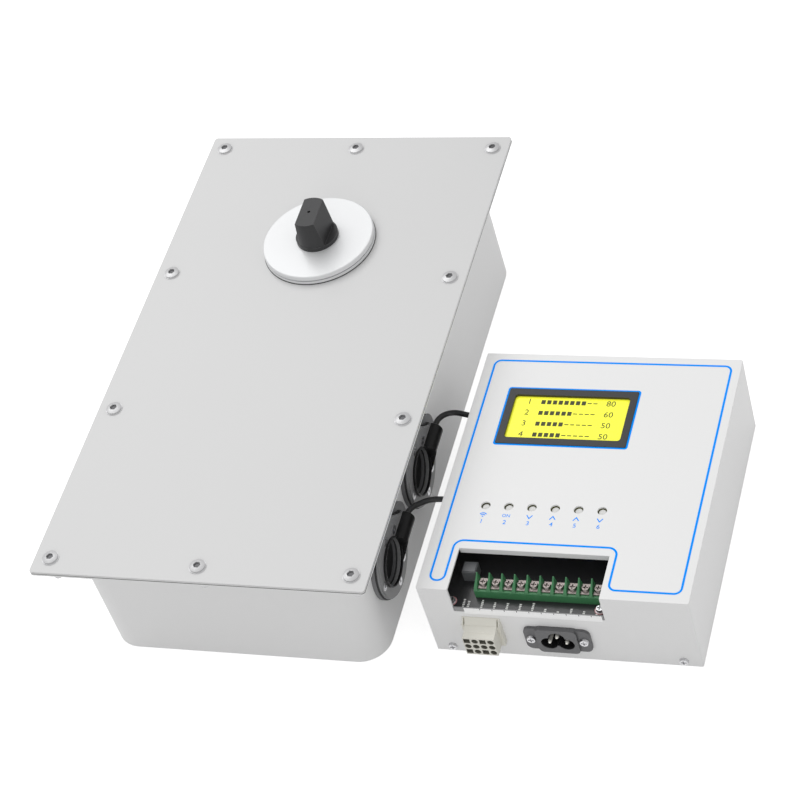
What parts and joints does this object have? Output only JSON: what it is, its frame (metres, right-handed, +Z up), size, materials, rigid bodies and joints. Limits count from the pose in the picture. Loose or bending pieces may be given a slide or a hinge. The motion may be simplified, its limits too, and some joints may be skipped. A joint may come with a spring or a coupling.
{
  "type": "in-ground swing door operator",
  "caption": "Floor-set swing door operator: a sealed tank with a geared, tapered flat-sided spindle and cable glands, wired to a control unit with display, buttons, terminals and sockets.",
  "frame": {"origin": "on the spindle's axis, in the plane of the tank's flat underside", "axes": "+Z up along the spindle's axis, +X from the operator to the control unit, +Y from the glands' end to the spindle's end of the tank"},
  "size_m": [0.3837, 0.374, 0.1218],
  "materials": {
    "tank_steel": "satin light grey powder coat",
    "plate_steel": "satin light grey, smooth",
    "disc_steel": "satin, turned",
    "seat_steel": "satin light grey powder coat",
    "screw_steel": "bright plated",
    "dark_screw_steel": "black oxide",
    "spindle_steel": "dark, blackened, machined",
    "gear_steel": "hobbed and hardened, oiled",
    "bearing_steel": "ground and polished",
    "case_casting": "sand-blasted die casting",
    "bush_bronze": "machined sintered bronze",
    "motor_paint": "satin black enamel",
    "gearhead_zinc": "machined",
    "soft_rubber": "matt black",
    "seal_rubber": "matt brown nitrile",
    "gland_plastic": "moulded, fine grain",
    "lead_jacket": "satin black",
    "unit_paint": "satin white powder coat",
    "base_steel": "satin light grey",
    "bezel_plastic": "moulded dark grey",
    "lcd_film": "flat yellow screen",
    "board_laminate": "black solder mask",
    "post_brass": "plated hexagon bar",
    "terminal_plastic": "moulded green",
    "relay_plastic": "moulded dark grey",
    "button_plastic": "moulded light grey",
    "switch_plastic": "moulded black",
    "inlet_plastic": "moulded dark grey",
    "contact_brass": "tin plated",
    "header_plastic": "moulded ivory",
    "transformer_tape": "taped coil on steel core",
    "capacitor_sleeve": "shrink sleeve"
  },
  "bodies": {
    "housings": {"tank": "tank_steel", "tank_flange": "tank_steel", "tank_gasket": "soft_rubber", "cover_plate": "plate_steel", "cover_screws": "screw_steel", "cover_washers": "screw_steel", "seal_ring": "disc_steel", "ring_seal": "soft_rubber", "outer_races": "bearing_steel", "shaft_seal": "seal_rubber", "gear_case": "case_casting", "case_lid": "case_casting", "case_screws": "dark_screw_steel", "foot_nuts": "screw_steel", "idler_bushes": "bush_bronze", "motor": "motor_paint", "gearhead": "gearhead_zinc", "stop_buffers": "soft_rubber", "gland_seats": "seat_steel", "gland_gaskets": "soft_rubber", "gland_bodies": "gland_plastic", "gland_plugs": "soft_rubber", "gland_screws": "screw_steel", "lead_upper": "lead_jacket", "lead_lower": "lead_jacket", "control_base": "base_steel", "control_cover": "unit_paint", "control_screws": "screw_steel", "display_bezel": "bezel_plastic", "display_panel": "lcd_film", "main_board": "board_laminate", "board_posts": "post_brass", "board_screws": "screw_steel", "terminal_block": "terminal_plastic", "terminal_screws": "screw_steel", "relay": "relay_plastic", "button_switches": "switch_plastic", "inlet_body": "inlet_plastic", "contact_pins": "contact_brass", "inlet_screws": "screw_steel", "header_body": "header_plastic", "lead_grommets": "soft_rubber", "transformer": "transformer_tape", "capacitors": "capacitor_sleeve"},
    "spindle_group": {"spindle": "spindle_steel", "spindle_key": "gear_steel", "cap_disc": "plate_steel", "output_gear": "gear_steel", "inner_races": "bearing_steel", "bearing_balls": "bearing_steel", "retaining_ring": "dark_screw_steel"},
    "intermediate_shaft": {"idler_gear": "gear_steel", "idler_shaft": "gear_steel"},
    "motor_pinion": {"drive_pinion": "gear_steel"},
    "button_1_cap": {"button_1": "button_plastic"},
    "button_2_cap": {"button_2": "button_plastic"},
    "button_3_cap": {"button_3": "button_plastic"},
    "button_4_cap": {"button_4": "button_plastic"},
    "button_5_cap": {"button_5": "button_plastic"},
    "button_6_cap": {"button_6": "button_plastic"}
  },
  "joints": [
    {"name": "spindle_turn", "type": "hinge", "parent": "housings", "child": "spindle_group", "pos_m": [0, 0, 0.05], "axis": [0, 0, 1], "range_deg": [-105, 105]},
    {"name": "intermediate_turn", "type": "hinge", "parent": "housings", "child": "intermediate_shaft", "pos_m": [0, -0.078, 0.05], "axis": [0, 0, 1], "range_deg": [-481, 481]},
    {"name": "pinion_turn", "type": "hinge", "parent": "housings", "child": "motor_pinion", "pos_m": [0, -0.138, 0.05], "axis": [0, 0, 1], "range_deg": [-2405, 2405]},
    {"name": "button_1_press", "type": "slide", "parent": "housings", "child": "button_1_cap", "axis": [0, 0, -1], "range_m": [0, 0.0003], "stiffness_N_per_m": 1500},
    {"name": "button_2_press", "type": "slide", "parent": "housings", "child": "button_2_cap", "axis": [0, 0, -1], "range_m": [0, 0.0003], "stiffness_N_per_m": 1500},
    {"name": "button_3_press", "type": "slide", "parent": "housings", "child": "button_3_cap", "axis": [0, 0, -1], "range_m": [0, 0.0003], "stiffness_N_per_m": 1500},
    {"name": "button_4_press", "type": "slide", "parent": "housings", "child": "button_4_cap", "axis": [0, 0, -1], "range_m": [0, 0.0003], "stiffness_N_per_m": 1500},
    {"name": "button_5_press", "type": "slide", "parent": "housings", "child": "button_5_cap", "axis": [0, 0, -1], "range_m": [0, 0.0003], "stiffness_N_per_m": 1500},
    {"name": "button_6_press", "type": "slide", "parent": "housings", "child": "button_6_cap", "axis": [0, 0, -1], "range_m": [0, 0.0003], "stiffness_N_per_m": 1500}
  ],
  "couplings": [
    {"joint": "intermediate_turn", "follows": "spindle_turn", "ratio": -4.5714},
    {"joint": "pinion_turn", "follows": "spindle_turn", "ratio": 22.857}
  ]
}
